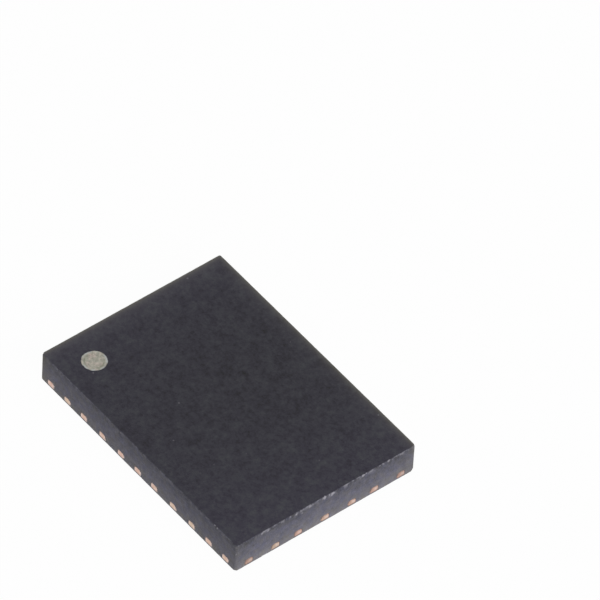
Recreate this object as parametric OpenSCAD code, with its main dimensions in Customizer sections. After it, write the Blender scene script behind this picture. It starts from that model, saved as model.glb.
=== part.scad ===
// Crystal oscillator in a flat leadless moulded package with six lands and a middle pad.
// An etched copper lead frame carries an oscillator die and a sealed quartz unit. Gold wires
// join them, and one moulded block closes over everything before it is sawn on four sides.
// X runs along the rows of lands, Y across them and Z up. The origin is the middle of the
// seating plane, and terminal 1 lies at the corner towards -X and -Y.

/* [Moulded block] */
// Length of the block along the rows of lands
body_l = 7; // [6.8:0.05:8]
// Width of the block across the rows of lands
body_w = 5; // [4.8:0.05:6]
// Height from the seating plane to the top face
body_h = 0.85; // [0.82:0.01:1.2]
// Radius left on the four upright sawn edges
edge_r = 0.05; // [0.03:0.01:0.1]

/* [Mark over terminal 1] */
// Diameter of the round mark
mark_d = 0.6; // [0.4:0.05:0.8]
// Depth of the mark in the top face
mark_t = 0.02; // [0.01:0.005:0.03]
// Distance from the block's short side to the middle of the mark
mark_in_x = 0.87; // [0.5:0.01:1.2]
// Distance from the block's long side to the middle of the mark
mark_in_y = 0.8; // [0.5:0.01:1.2]

/* [Lands] */
// Pitch of the lands along a row
pitch = 2.54; // [2.44:0.02:2.6]
// Length of a land along its row
land_l = 1.4; // [1.3:0.05:1.5]
// Distance from the lands to the block's long sides
land_in = 0.1; // [0.06:0.01:0.15]
// Corner radius of the lands
land_r = 0.08; // [0.04:0.01:0.12]
// Leg of the chamfer that tells land 1 from the others
land_1_chamfer = 0.25; // [0.15:0.01:0.35]
// Length of the exposed middle pad
pad_l = 2.8; // [2.4:0.05:3.2]
// Distance from the long sides of the exposed pad to those of the paddle
pad_rim = 0.15; // [0.1:0.01:0.25]
// Corner radius of the middle pad
pad_r = 0.05; // [0.03:0.01:0.12]
// Thickness of the tin on the lands and the middle pad
tin_t = 0.01; // [0.005:0.001:0.02]

/* [Lead frame] */
// Height of the frame's upper face over the seating plane
frame_top = 0.2; // [0.18:0.01:0.24]
// Thickness left where the frame is etched from below
half_t = 0.15; // [0.09:0.01:0.16]
// Width of the fingers and tie bars
finger_w = 0.22; // [0.18:0.01:0.28]
// Radius that etching leaves on their two lower corners
bar_r = 0.04; // [0.02:0.01:0.06]
// Spacing of a land's three fingers at the long side
finger_pitch = 0.6; // [0.5:0.01:0.62]
// Distance from a land's outer edge to the middle of its outer end finger
end_finger_out = 0.28; // [0.2:0.01:0.34]
// Distance from a land's inner edge to the middle of its inner end finger
end_finger_in = 0.08; // [0.06:0.01:0.15]
// Spacing of the paddle's tie bars at the short sides
tie_pitch = 0.75; // [0.5:0.01:0.8]
// Width of the half-etched ledge round the inner sides of a land
ledge = 0.08; // [0.05:0.01:0.1]
// Corner radius of the ledges and of the paddle
etch_r = 0.06; // [0.04:0.01:0.07]
// Gap between the terminals and the paddle
frame_gap = 0.17; // [0.14:0.01:0.2]
// Distance from the paddle to the block's short sides
paddle_in = 0.5; // [0.4:0.05:0.6]
// Width of the paddle
paddle_w = 2.1; // [2:0.05:2.3]

/* [Oscillator die] */
// Length of the die
die_l = 1.5; // [1.2:0.05:1.6]
// Width of the die
die_w = 1.3; // [1.1:0.05:1.4]
// Thickness of the die
die_t = 0.15; // [0.1:0.01:0.2]
// Space between the quartz unit and the die
die_gap = 1.1; // [0.9:0.05:1.2]
// Thickness of the adhesive under the die and under the quartz unit
attach_t = 0.02; // [0.01:0.005:0.03]
// How far the adhesive spreads past what it holds
attach_rim = 0.05; // [0.02:0.01:0.08]

/* [Quartz unit] */
// Length of the ceramic base
unit_l = 2; // [1.8:0.05:2.1]
// Width of the ceramic base
unit_w = 1.6; // [1.4:0.05:1.65]
// Distance from the paddle's end to the ceramic base
unit_in = 0.5; // [0.4:0.05:0.6]
// Height of the ceramic base
base_h = 0.3; // [0.26:0.01:0.32]
// Thickness of the ceramic floor
floor_t = 0.12; // [0.1:0.01:0.14]
// Thickness of the ceramic walls
wall_t = 0.25; // [0.2:0.01:0.28]
// Radius of the grooves down the base's four corners
groove_r = 0.12; // [0.08:0.01:0.13]
// Thickness of the seal ring
ring_t = 0.06; // [0.04:0.01:0.07]
// Distance from the base's edge to the seal ring and the lid
ring_in = 0.05; // [0.03:0.01:0.07]
// Thickness of the lid
lid_t = 0.05; // [0.04:0.01:0.06]
// Corner radius of the seal ring and the lid
lid_r = 0.15; // [0.1:0.01:0.2]
// Length of an outer contact
contact_l = 0.5; // [0.4:0.05:0.6]
// Width of an outer contact
contact_w = 0.4; // [0.3:0.05:0.45]
// Thickness of the contacts, outside and inside
contact_t = 0.01; // [0.006:0.002:0.014]
// Distance from the base's edges to its outer contacts
contact_in = 0.1; // [0.1:0.01:0.14]

/* [Quartz blank] */
// Thickness of the blank, which sets its frequency
blank_t = 0.045; // [0.03:0.005:0.06]
// Space between the blank and the walls round it
blank_gap = 0.12; // [0.08:0.01:0.15]
// Height of the ceramic steps over the glued end
step_h = 0.03; // [0.02:0.005:0.04]
// Side of a step and of the metal pad on it
step_l = 0.34; // [0.28:0.01:0.4]
// Diameter of a dot of conductive glue
glue_d = 0.18; // [0.12:0.01:0.22]
// Thickness of a dot of conductive glue
glue_t = 0.025; // [0.02:0.005:0.03]
// Thickness of an electrode film
film_t = 0.002; // [0.002:0.001:0.004]
// Space from the electrodes to the blank's sides and free end
film_in = 0.14; // [0.1:0.01:0.18]
// Width of an electrode's tab
tab_w = 0.2; // [0.16:0.01:0.24]

/* [Bond wires] */
// Diameter of a bond wire
wire_d = 0.025; // [0.02:0.001:0.03]
// Diameter of the ball at a wire's first end
ball_d = 0.07; // [0.05:0.005:0.08]
// Height of the ball
ball_t = 0.018; // [0.014:0.002:0.024]
// Rise of a wire over the line between its ends
loop_h = 0.1; // [0.08:0.01:0.12]
// Rise of the two wires that climb from the die onto the quartz unit
climb_h = 0.2; // [0.18:0.01:0.22]
// Length of the flattened stitch at a wire's second end
stitch_l = 0.07; // [0.05:0.005:0.09]
// Thickness of the stitch
stitch_t = 0.012; // [0.01:0.001:0.016]
// Width of the stitch
stitch_w = 0.05; // [0.04:0.005:0.06]
// Distance from an edge of the die or frame to a wire's end
bond_in = 0.1; // [0.08:0.01:0.12]

/* [Hidden] */
$fn = 96;

mould_colour = [0.16, 0.16, 0.18];
mark_colour = [0.62, 0.6, 0.55];
tin_colour = [0.85, 0.84, 0.8];
copper_colour = [0.78, 0.58, 0.48];
silicon_colour = [0.35, 0.36, 0.42];
adhesive_colour = [0.75, 0.75, 0.72];
alloy_colour = [0.72, 0.7, 0.66];
ceramic_colour = [0.9, 0.88, 0.84];
gold_colour = [0.9, 0.74, 0.35];
quartz_colour = [0.82, 0.88, 0.92];

// Lands fill what the paddle, the gap and the ledges leave of the block's width
land_w = (body_w - paddle_w) / 2 - frame_gap - ledge - land_in;
row_y = body_w / 2 - land_in - land_w / 2;
columns = [-pitch, 0, pitch];

// Paddle, its exposed pad and the frame's half-etched level
paddle_l = body_l - 2 * paddle_in;
pad_w = paddle_w - 2 * pad_rim;
half_z = frame_top - half_t;

// Stack of the quartz unit, from the frame up
lid_z = frame_top + attach_t;
ring_z = lid_z + lid_t;
base_z = ring_z + ring_t;
roof_z = base_z + base_h - floor_t;
unit_z = base_z + base_h;
contact_z = unit_z + contact_t;
unit_x = unit_in + unit_l / 2 - paddle_l / 2;

// Quartz blank, hung below the steps by its -X end
cavity_l = unit_l - 2 * wall_t;
cavity_w = unit_w - 2 * wall_t;
blank_l = cavity_l - 2 * blank_gap;
blank_w = cavity_w - 2 * blank_gap;
step_pad_z = roof_z - step_h - contact_t;
glue_z = step_pad_z - glue_t;
blank_z = glue_z - film_t - blank_t;
blank_end = unit_x - blank_l / 2;
glue_x = blank_end + tab_w / 2;
glue_y = blank_w / 2 - tab_w / 2;

// Oscillator die
die_x = unit_x + unit_l / 2 + die_gap + die_l / 2;
die_z = lid_z;
die_top = die_z + die_t;
bond_x = die_l / 2 - bond_in;
bond_y = die_w / 2 - bond_in;

// Rings of a bond wire have this many sides, with a flat one on top and one below
wire_sides = 8;
// Steps along a wire's loop
wire_steps = 7;
// Half the height of a polygon of wire_sides sides and unit radius, flat side up
flat = cos(180 / wire_sides);

// Where each wire starts with its ball and ends with its stitch, and its rise
stitch_y = row_y - land_w / 2 - ledge + bond_in;
corner_stitch_x = pitch - land_l / 2 - ledge + bond_in;
wires = [
    // From the die to five of the terminals
    ["terminal_1", [die_x - bond_x, -bond_y, die_top], [-corner_stitch_x, -stitch_y, frame_top], loop_h],
    ["terminal_3", [die_x + bond_x, -bond_y, die_top], [corner_stitch_x, -stitch_y, frame_top], loop_h],
    ["terminal_4", [die_x + bond_x, bond_y, die_top], [corner_stitch_x, stitch_y, frame_top], loop_h],
    ["terminal_5", [die_x - bond_x / 2, bond_y, die_top], [land_l / 4, stitch_y, frame_top], loop_h],
    ["terminal_6", [die_x - bond_x, bond_y, die_top], [-corner_stitch_x, stitch_y, frame_top], loop_h],
    // From the die down to the paddle
    ["ground", [die_x, -bond_y, die_top], [die_x, bond_in - paddle_w / 2, frame_top], loop_h],
    // From the die up to the quartz unit's two live contacts
    ["crystal_1", [die_x - bond_x, -bond_y / 2, die_top], contact_place(1, -1), climb_h],
    ["crystal_2", [die_x - bond_x, bond_y / 2, die_top], contact_place(-1, 1), climb_h]
];

// Middle of the outer contact on the side that the signs give
function contact_place(sx, sy) = [
    unit_x + sx * (unit_l / 2 - contact_in - contact_l / 2),
    sy * (unit_w / 2 - contact_in - contact_w / 2),
    contact_z
];

// Points of one ring: half its width across the wire and half its height along the normal
function ring(centre, across, normal, half_w, half_h) = [
    for (i = [0 : wire_sides - 1])
        let (turn = (i + 0.5) * 360 / wire_sides)
        centre + across * half_w * cos(turn) + normal * half_h * sin(turn)
];

// A loop that leaves the ball upright and lands flat: u runs from 0 to 1, the way gone grows
// with its square, and the rise over the straight line between the ends is a parabola in u
function loop_point(a, b, rise, u) = a + (b - a) * u * u + [0, 0, 4 * rise * u * (1 - u)];
function loop_heading(a, b, rise, u) = 2 * (b - a) * u + [0, 0, 4 * rise * (1 - 2 * u)];
function unit(v) = v / norm(v);

module rounded_plate(l, w, r, t) {
    linear_extrude(t) {
        square([l - 2 * r, w], center = true);
        square([l, w - 2 * r], center = true);
        for (sx = [-1, 1], sy = [-1, 1]) {
            translate([sx * (l / 2 - r), sy * (w / 2 - r)]) circle(r);
        }
    }
}

module block(x0, x1, y0, y1, z0, z1) {
    translate([x0, y0, z0]) cube([x1 - x0, y1 - y0, z1 - z0]);
}

// A bar of the half-etched level, flat above and rounded at its two lower corners. It runs
// down from the plane of its section, which is drawn with its height along Y.
module bar(length) {
    translate([0, 0, -length]) linear_extrude(length) {
        translate([-finger_w / 2, half_z + bar_r]) square([finger_w, half_t - bar_r]);
        translate([bar_r - finger_w / 2, half_z]) square([finger_w - 2 * bar_r, half_t]);
        for (side = [-1, 1]) {
            translate([side * (finger_w / 2 - bar_r), half_z + bar_r]) circle(bar_r);
        }
    }
}

// A bar that leaves the frame at the block's long side
module long_side_bar(x, y0) {
    translate([x, body_w / 2, 0]) rotate([90, 0, 180]) bar(body_w / 2 - y0);
}

// A bar that leaves the frame at the block's short side
module short_side_bar(x0, y) {
    translate([body_l / 2, y, 0]) rotate([90, 0, 90]) bar(body_l / 2 - x0);
}

// One land's outline with the chamfer of land 1, turned towards the block's middle
module land_plate(z, t, chamfer) {
    difference() {
        translate([0, 0, z]) rounded_plate(land_l, land_w, land_r, t);
        if (chamfer > 0) {
            translate([-land_l / 2, -land_w / 2, z - t]) linear_extrude(3 * t) {
                polygon([[0, 0], [chamfer, 0], [0, chamfer]]);
            }
        }
    }
}

// Half-etched shelf over a land: it passes the land on its inner side and both its ends
module land_shelf() {
    translate([0, -ledge / 2, half_z]) {
        rounded_plate(land_l + 2 * ledge, land_w + ledge, etch_r, half_t);
    }
}

// Terminals are drawn in the +X, +Y quarter and mirrored to their places
module terminal(column, chamfer = 0) {
    color(copper_colour) {
        translate([column * pitch, row_y, 0]) {
            land_plate(tin_t, frame_top - tin_t, chamfer);
            land_shelf();
        }
        for (i = [-1, 0, 1]) {
            long_side_bar(column * pitch + i * finger_pitch, row_y);
        }
        if (column != 0) {
            short_side_bar(pitch, row_y - land_w / 2 + end_finger_in);
            short_side_bar(pitch, row_y + land_w / 2 - end_finger_out);
        }
    }
}

module place_1() { mirror([1, 0, 0]) mirror([0, 1, 0]) children(); }
module place_3() { mirror([0, 1, 0]) children(); }
module place_6() { mirror([1, 0, 0]) children(); }

module terminal_1() { place_1() terminal(1, land_1_chamfer); }
module terminal_2() { place_3() terminal(0); }
module terminal_3() { place_3() terminal(1); }
module terminal_4() { terminal(1); }
module terminal_5() { terminal(0); }
module terminal_6() { place_6() terminal(1); }

// Exposed pad with half-etched wings under the quartz unit and the die, held by ten tie bars
module die_paddle() {
    color(copper_colour) {
        translate([0, 0, tin_t]) rounded_plate(pad_l, pad_w, pad_r, frame_top - tin_t);
        translate([0, 0, half_z]) rounded_plate(paddle_l, paddle_w, etch_r, half_t);
        for (sx = [0, 1], sy = [0, 1], x = [-1, 1]) {
            mirror([sx, 0, 0]) mirror([0, sy, 0]) long_side_bar(pitch / 2, 0);
        }
        for (side = [0, 1], i = [-1, 0, 1]) {
            mirror([side, 0, 0]) short_side_bar(pad_l / 2, i * tie_pitch);
        }
    }
}

// Tin on the six lands and the middle pad, which the package stands on
module tin_plating() {
    color(tin_colour) {
        for (x = columns, side = [0, 1]) {
            mirror([0, side, 0]) translate([x, row_y, 0]) {
                mirror([x < 0 ? 1 : 0, 0, 0]) {
                    land_plate(0, tin_t, x < 0 && side == 1 ? land_1_chamfer : 0);
                }
            }
        }
        rounded_plate(pad_l, pad_w, pad_r, tin_t);
    }
}

module mark_place() {
    translate([mark_in_x - body_l / 2, mark_in_y - body_w / 2, body_h - mark_t]) children();
}

module pin_1_mark() {
    color(mark_colour) mark_place() cylinder(d = mark_d, h = mark_t);
}

module oscillator_die() {
    color(silicon_colour) {
        translate([die_x - die_l / 2, -die_w / 2, die_z]) cube([die_l, die_w, die_t]);
    }
}

module die_attach() {
    color(adhesive_colour) translate([die_x, 0, frame_top]) {
        rounded_plate(die_l + 2 * attach_rim, die_w + 2 * attach_rim, attach_rim, attach_t);
    }
}

module crystal_attach() {
    color(adhesive_colour) translate([unit_x, 0, frame_top]) {
        rounded_plate(
            unit_l - 2 * ring_in + 2 * attach_rim, unit_w - 2 * ring_in + 2 * attach_rim,
            lid_r + attach_rim, attach_t
        );
    }
}

// Lid of the quartz unit, which lies lowest because the unit is turned over
module crystal_lid() {
    color(alloy_colour) translate([unit_x, 0, lid_z]) {
        rounded_plate(unit_l - 2 * ring_in, unit_w - 2 * ring_in, lid_r, lid_t);
    }
}

module crystal_seal_ring() {
    color(alloy_colour) translate([unit_x, 0, ring_z]) difference() {
        rounded_plate(unit_l - 2 * ring_in, unit_w - 2 * ring_in, lid_r, ring_t);
        cavity(-ring_t, 3 * ring_t);
    }
}

module cavity(z, t) {
    translate([-cavity_l / 2, -cavity_w / 2, z]) cube([cavity_l, cavity_w, t]);
}

// Outer form of the ceramic base with a quarter-round groove down each corner
module base_block() {
    difference() {
        translate([-unit_l / 2, -unit_w / 2, 0]) cube([unit_l, unit_w, base_h]);
        for (sx = [-1, 1], sy = [-1, 1]) {
            translate([sx * unit_l / 2, sy * unit_w / 2, -base_h]) cylinder(r = groove_r, h = 3 * base_h);
        }
    }
}

// The two steps stand in the cavity's corners at the glued end
module step_place(side, z) {
    translate([-cavity_l / 2, side > 0 ? cavity_w / 2 - step_l : -cavity_w / 2, z]) children();
}

module crystal_base() {
    color(ceramic_colour) translate([unit_x, 0, base_z]) {
        difference() {
            base_block();
            cavity(-base_h, 2 * base_h - floor_t);
        }
        for (side = [-1, 1]) {
            step_place(side, base_h - floor_t - step_h) cube([step_l, step_l, step_h + floor_t / 2]);
        }
    }
}

// Gold on the steps, to which the blank is glued
module crystal_steps() {
    color(gold_colour) translate([unit_x, 0, 0]) {
        for (side = [-1, 1]) {
            step_place(side, step_pad_z) cube([step_l, step_l, contact_t]);
        }
    }
}

// Gold on the base's outer face, two live contacts and two that ground the lid
module crystal_contacts() {
    color(gold_colour) {
        for (sx = [-1, 1], sy = [-1, 1]) {
            translate(contact_place(sx, sy) - [contact_l / 2, contact_w / 2, contact_t]) {
                cube([contact_l, contact_w, contact_t]);
            }
        }
    }
}

module blank_glue(side) {
    color(adhesive_colour) translate([glue_x, side * glue_y, glue_z]) cylinder(d = glue_d, h = glue_t);
}

module blank_glue_1() { blank_glue(-1); }
module blank_glue_2() { blank_glue(1); }

module quartz_blank() {
    color(quartz_colour) translate([blank_end, -blank_w / 2, blank_z]) cube([blank_l, blank_w, blank_t]);
}

// An electrode's main field, kept off the blank's sides, its free end and its tabs
module field(z) {
    block(
        blank_end + tab_w + film_in / 2, blank_end + blank_l - film_in,
        film_in - blank_w / 2, blank_w / 2 - film_in, z, z + film_t
    );
}

// The film that runs from the field to the glued corner on one side
module tab(side, z) {
    y = side > 0 ? blank_w / 2 - tab_w : -blank_w / 2;
    block(blank_end, blank_end + tab_w, y, y + tab_w, z, z + film_t);
    block(
        blank_end + tab_w / 2, blank_end + tab_w + film_in,
        side > 0 ? blank_w / 2 - tab_w : tab_w / 2 - blank_w / 2,
        side > 0 ? blank_w / 2 - tab_w / 2 : tab_w - blank_w / 2, z, z + film_t
    );
}

// Film on the blank's upper face, with its tab at the first dot of glue
module upper_electrode() {
    color(gold_colour) {
        field(blank_z + blank_t);
        tab(-1, blank_z + blank_t);
    }
}

// Film on the blank's lower face, whose tab wraps round the end to the second dot of glue
module lower_electrode() {
    y = blank_w / 2 - tab_w;
    color(gold_colour) {
        field(blank_z - film_t);
        tab(1, blank_z - film_t);
        block(blank_end, blank_end + tab_w, y, y + tab_w, blank_z + blank_t, blank_z + blank_t + film_t);
        block(blank_end - film_t, blank_end, y, y + tab_w, blank_z - film_t, blank_z + blank_t + film_t);
    }
}

// A ball, a loop of constant section and a flattened stitch, closed as one swept skin
module bond_wire(name) {
    wire = [for (w = wires) if (w[0] == name) w][0];
    start = wire[1];
    rise = wire[3];
    a = start + [0, 0, ball_t];
    b = wire[2] + [0, 0, stitch_t / 2];
    run = unit([b.x - a.x, b.y - a.y, 0]);
    across = [-run.y, run.x, 0];
    ball = ball_d / 2;
    thick = wire_d / 2;
    rings = [
        ring(start, across, -run, ball, ball),
        ring(a, across, -run, ball, ball),
        for (i = [0 : wire_steps - 1])
            let (heading = unit(loop_heading(a, b, rise, i / wire_steps)))
            ring(loop_point(a, b, rise, i / wire_steps), across, cross(heading, across), thick, thick),
        ring(b, across, [0, 0, 1], stitch_w / 2, stitch_t / 2 / flat),
        ring(b + run * stitch_l, across, [0, 0, 1], stitch_w / 2, stitch_t / 2 / flat)
    ];
    points = [for (r = rings) each r];
    last = len(points) - wire_sides;
    sides = [
        for (k = [0 : len(rings) - 2], i = [0 : wire_sides - 1])
            let (
                p = k * wire_sides + i,
                q = k * wire_sides + (i + 1) % wire_sides
            )
            each [[p, p + wire_sides, q], [q, p + wire_sides, q + wire_sides]]
    ];
    caps = [
        [for (i = [0 : wire_sides - 1]) i],
        [for (i = [wire_sides - 1 : -1 : 0]) last + i]
    ];
    color(gold_colour) polyhedron(points, concat(sides, caps));
}

module wire_terminal_1() { bond_wire("terminal_1"); }
module wire_terminal_3() { bond_wire("terminal_3"); }
module wire_terminal_4() { bond_wire("terminal_4"); }
module wire_terminal_5() { bond_wire("terminal_5"); }
module wire_terminal_6() { bond_wire("terminal_6"); }
module wire_ground() { bond_wire("ground"); }
module wire_crystal_1() { bond_wire("crystal_1"); }
module wire_crystal_2() { bond_wire("crystal_2"); }

// Moulding compound: the sawn block less all that it closes round
module mould_body() {
    color(mould_colour) difference() {
        translate([0, 0, tin_t]) rounded_plate(body_l, body_w, edge_r, body_h - tin_t);
        mark_place() cylinder(d = mark_d, h = 2 * mark_t);
        terminal_1();
        terminal_2();
        terminal_3();
        terminal_4();
        terminal_5();
        terminal_6();
        die_paddle();
        die_attach();
        oscillator_die();
        crystal_attach();
        crystal_lid();
        translate([unit_x, 0, ring_z]) {
            rounded_plate(unit_l - 2 * ring_in, unit_w - 2 * ring_in, lid_r, ring_t);
        }
        translate([unit_x, 0, base_z]) base_block();
        crystal_contacts();
        for (w = wires) bond_wire(w[0]);
    }
}

mould_body();
pin_1_mark();
tin_plating();
die_paddle();
terminal_1();
terminal_2();
terminal_3();
terminal_4();
terminal_5();
terminal_6();
oscillator_die();
die_attach();
crystal_attach();
crystal_lid();
crystal_seal_ring();
crystal_base();
crystal_contacts();
crystal_steps();
quartz_blank();
upper_electrode();
lower_electrode();
blank_glue_1();
blank_glue_2();
wire_terminal_1();
wire_terminal_3();
wire_terminal_4();
wire_terminal_5();
wire_terminal_6();
wire_ground();
wire_crystal_1();
wire_crystal_2();
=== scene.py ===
"""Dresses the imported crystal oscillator: sawn moulding, round mark, tinned lands and copper.

Shapes are worked out in millimetres as numpy arrays and put into meshes in metres. Every finish
reads Object coordinates, or an attribute that the shape's own function gives.
"""

import math

import bpy
import numpy as np
from bpy.props import FloatProperty, FloatVectorProperty, PointerProperty
from mathutils import Matrix, Vector


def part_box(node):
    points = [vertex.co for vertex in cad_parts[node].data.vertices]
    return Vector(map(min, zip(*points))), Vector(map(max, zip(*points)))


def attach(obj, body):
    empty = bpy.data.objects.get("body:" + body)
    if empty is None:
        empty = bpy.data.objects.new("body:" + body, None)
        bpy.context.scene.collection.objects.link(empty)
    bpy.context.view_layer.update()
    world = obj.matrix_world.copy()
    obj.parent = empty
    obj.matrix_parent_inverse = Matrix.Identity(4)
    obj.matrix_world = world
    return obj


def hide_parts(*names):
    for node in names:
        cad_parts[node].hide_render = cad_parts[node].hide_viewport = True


bl_info = {
    "name": "Crystal Oscillator",
    "version": (1, 0, 0),
    "blender": (4, 5, 0),
    "location": "View3D > Sidebar > Oscillator",
    "description": "Moulding, mark, tinned lands, copper and stage of a leadless oscillator",
    "category": "Object",
}

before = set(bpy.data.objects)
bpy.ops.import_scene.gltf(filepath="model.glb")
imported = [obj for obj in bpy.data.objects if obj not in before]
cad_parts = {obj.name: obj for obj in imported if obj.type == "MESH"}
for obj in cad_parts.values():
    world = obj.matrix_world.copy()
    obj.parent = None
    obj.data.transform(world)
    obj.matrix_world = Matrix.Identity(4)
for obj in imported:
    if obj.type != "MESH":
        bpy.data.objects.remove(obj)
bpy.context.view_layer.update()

MM = 0.001
BODY = "root"
DIAGONALS = np.array([[-1, -1], [1, -1], [1, 1], [-1, 1]])

COPPER_NODES = ("die_paddle", *(f"terminal_{i}" for i in range(1, 7)))
GOLD_NODES = (
    "crystal_contacts", "crystal_steps", "upper_electrode", "lower_electrode", "wire_ground",
    "wire_crystal_1", "wire_crystal_2", *(f"wire_terminal_{i}" for i in (1, 3, 4, 5, 6)),
)
ADHESIVE_NODES = ("die_attach", "crystal_attach", "blank_glue_1", "blank_glue_2")
ALLOY_NODES = ("crystal_lid", "crystal_seal_ring")

# The tin: its plates, the corners of the lands and of the middle pad, the chamfer of land 1
# and the corners at that chamfer's ends, in millimetres
TIN_PLATES = 7
LAND_RADIUS, PAD_RADIUS, LAND_1_CHAMFER, CHAMFER_RADIUS = 0.08, 0.05, 0.25, 0.03

# Chips broken out of the edges: middle and radius in millimetres, and how fresh each is
EDGE_CHIPS = np.array([
    [3.5, 0.19, 0.8, 0.05, 1], [3.5, 0.16, 0.76, 0.03, 0.7], [3.5, -0.03, 0.81, 0.04, 1],
    [3.5, -0.08, 0.81, 0.035, 0.8], [3.5, 0.09, 0.82, 0.025, 0.7], [3.5, -0.45, 0.79, 0.04, 0.6],
    [3.5, -0.66, 0.72, 0.02, 0.6], [3.5, -0.83, 0.79, 0.03, 0.8], [3.5, 1.04, 0.81, 0.045, 1],
    [3.5, 1.12, 0.83, 0.025, 0.7], [3.5, 1.74, 0.82, 0.035, 0.7], [3.5, -1.61, 0.78, 0.035, 0.8],
    [3.5, -1.78, 0.8, 0.03, 0.8], [3.5, -1.0, 0.82, 0.025, 0.6], [3.5, 1.5, 0.83, 0.02, 0.5],
    [3.5, -1.74, 0.03, 0.022, 1], [3.5, -1.69, 0.03, 0.025, 1], [3.5, -1.63, 0.03, 0.022, 1],
    [2.72, -2.5, 0.84, 0.03, 0.6], [2.81, -2.5, 0.82, 0.025, 0.6],
    [3.49, -2.49, 0.57, 0.025, 0.7], [-2.94, -2.5, 0.81, 0.025, 0.5],
    [-2.73, -2.5, 0.8, 0.022, 0.4], [-0.64, -2.5, 0.8, 0.025, 0.5],
    [-1.2, -2.5, 0.85, 0.02, 0.5], [-3.5, 1.1, 0.85, 0.02, 0.5], [-3.5, -0.6, 0.85, 0.018, 0.5],
    [1.6, 2.5, 0.85, 0.02, 0.5], [-2.1, 2.5, 0.85, 0.018, 0.5], [-3.5, -1.9, 0.02, 0.03, 0.5],
    [3.5, 2.5, 0.0, 0.08, 0], [3.5, 2.5, 0.86, 0.07, 0], [-3.5, -2.5, 0.86, 0.06, 0],
    [-3.5, -2.5, 0.0, 0.06, 0], [3.5, -2.5, 0.0, 0.06, 0],
])

# How pale the upper edges towards -X, -Y, +X and +Y are: their arcs, rubbed by the saw and
# with a painted highlight, and the bands just inside them and the haze over the top, both
# painted glare
RUBBED_AND_LIT_ARC = (0.3, 0.25, 1.0, 0.3)
GLARE_BAND = (0.7, 0.0, 0.0, 0.7)
HAZE = (0.31, 0.0, 0.0, 0.186)

# Painted glare on the upright edges, anticlockwise from the one towards -X and -Y
UPRIGHT_GLARE = (0.6, 0.15, 0.4, 0.5)

# How far the rubbing and the painted glare reach in millimetres: in from a side, down it
# and round an upright edge, and how far the haze of painted glare does
REACH_IN, REACH_DOWN, REACH_ROUND, REACH_HAZE = 0.05, 0.07, 0.15, 0.2


def linear(red, green, blue):
    """Scene-linear colour of the given display values from 0 to 255."""
    share = np.array([red, green, blue]) / 255
    return tuple(np.where(share <= 0.04045, share / 12.92, ((share + 0.055) / 1.055) ** 2.4))


def colour_property(name, description, *display):
    """A colour whose default is given in display values from 0 to 255."""
    return FloatVectorProperty(
        name=name, description=description, default=linear(*display),
        subtype="COLOR", min=0.0, max=1.0,
    )


class BlockSettings(bpy.types.PropertyGroup):
    """Form and colours of the moulded block"""

    corner: FloatProperty(
        name="Upright edge radius", description="Radius of the four upright edges",
        default=0.05 * MM, min=0.02 * MM, max=0.2 * MM, unit="LENGTH",
    )
    edge: FloatProperty(
        name="Level edge radius",
        description="Radius left on the edges of the top and the underside",
        default=0.018 * MM, min=0.005 * MM, max=0.03 * MM, unit="LENGTH",
    )
    sink: FloatProperty(
        name="Set-back", description="How far the moulding lies behind the copper, tin and mark",
        default=0.003 * MM, min=0.0, max=0.006 * MM, unit="LENGTH",
    )
    top_colour: colour_property(
        "Moulded face", "Colour of the moulded top and underside where darkest", 43, 39, 54,
    )
    cloud_colour: colour_property(
        "Clouds", "Colour of the paler clouds in the moulded faces", 42.5, 43, 48,
    )
    sawn_colour: colour_property("Sawn face", "Colour of the four sawn sides", 102, 100, 106)
    sawn_cloud_colour: colour_property(
        "Sawn clouds", "Colour of the cooler clouds in the sawn sides", 97, 97, 114,
    )
    chip_colour: colour_property(
        "Broken edge", "Colour where the moulding is freshly broken", 168, 166, 174,
    )
    # Painted glare: the pale olive that light lays over the far upper edges, not rubbing
    glare_colour: colour_property(
        "Rubbed edge", "Colour of the moulded face where its edge is rubbed", 117, 114, 99,
    )
    low_tint: FloatVectorProperty(
        name="Low tint",
        description="What the colour of the sawn sides is multiplied by at their foot",
        default=(1.0, 0.98, 0.84), subtype="COLOR", min=0.0, max=1.0,
    )


class MarkSettings(bpy.types.PropertyGroup):
    """Colours of the round mark"""

    print_colour: colour_property("Mark", "Colour of the print over terminal 1", 163, 161, 149)
    warm_colour: colour_property(
        "Mark's warm clouds", "Colour of the warmer clouds in the mark", 178, 165, 156,
    )
    # Painted highlight on the mark's rim
    rim_highlight_colour: colour_property(
        "Mark's rim", "Colour where the mark's print stands up at its rim", 178, 181, 180,
    )
    # Also the painted shadow of the broken ring inside the rim
    pit_and_shadow_colour: colour_property(
        "Mark's pits", "Colour where the mark's print is thin", 112, 118, 98,
    )
    edge_colour: colour_property(
        "Mark's edge", "Colour where the mark's print thins out to nothing", 84, 84, 82,
    )


class MetalSettings(bpy.types.PropertyGroup):
    """Colours of the tin and the copper, and the skin that the saw leaves on the copper"""

    tin_colour: colour_property("Tin", "Colour of the tin on the lands", 222, 219, 211)
    copper_colour: colour_property("Copper", "Colour of freshly cut copper", 211, 173, 158)
    tan_colour: colour_property(
        "Tan copper", "Colour of the copper ends that have aged a little", 208, 182, 160,
    )
    # Painted highlight, not burnishing: the pale copper where the lamp's highlight falls
    painted_highlight_colour: colour_property(
        "Burnished copper", "Colour of the copper where the saw has burnished it", 226, 208, 201,
    )
    smear_colour: colour_property(
        "Dragged copper", "Colour of the thin copper dragged out by the saw", 116, 98, 93,
    )
    smear: FloatProperty(
        name="Smear", description="How far the saw drags the copper over the moulding",
        default=0.012 * MM, min=0.0, max=0.03 * MM, unit="LENGTH",
    )
    skin: FloatProperty(
        name="Skin", description="How far the dragged copper stands over its bar's end",
        default=0.002 * MM, min=0.0005 * MM, max=0.004 * MM, unit="LENGTH",
    )


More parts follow.
